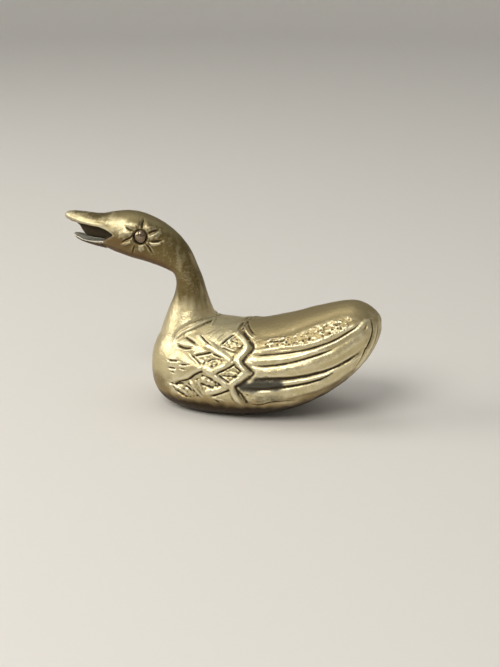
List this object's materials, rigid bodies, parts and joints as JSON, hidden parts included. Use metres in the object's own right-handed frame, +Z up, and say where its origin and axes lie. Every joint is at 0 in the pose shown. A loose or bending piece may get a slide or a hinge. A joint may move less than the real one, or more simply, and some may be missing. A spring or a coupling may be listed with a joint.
{
  "type": "brass duck figurine",
  "caption": "Small hollow cast brass duck, standing on a flat ground patch, with chased wings and feathers, a long neck, an open bill and domed eyes.",
  "frame": {"origin": "on the flat ground patch under the body, 31.4 percent of the body's length behind the breast, in the middle plane", "axes": "+X towards the tail, +Y towards the duck's right side, +Z up"},
  "size_m": [0.1039, 0.0362, 0.0625],
  "materials": {
    "cast_brass": "satin, aged, with dark tarnish in the grooves",
    "neck_brass": "satin, aged, smoother than the body",
    "braze": "filed flush",
    "bill_brass": "dull silvery grey, tarnished",
    "eye_brass": "polished dome"
  },
  "bodies": {
    "root": {"body_left": "cast_brass", "body_right": "cast_brass", "seam_braze": "braze", "neck_braze": "braze", "neck_head": "neck_brass", "lower_bill": "bill_brass", "eye_stud_left": "eye_brass", "eye_stud_right": "eye_brass"}
  },
  "joints": []
}
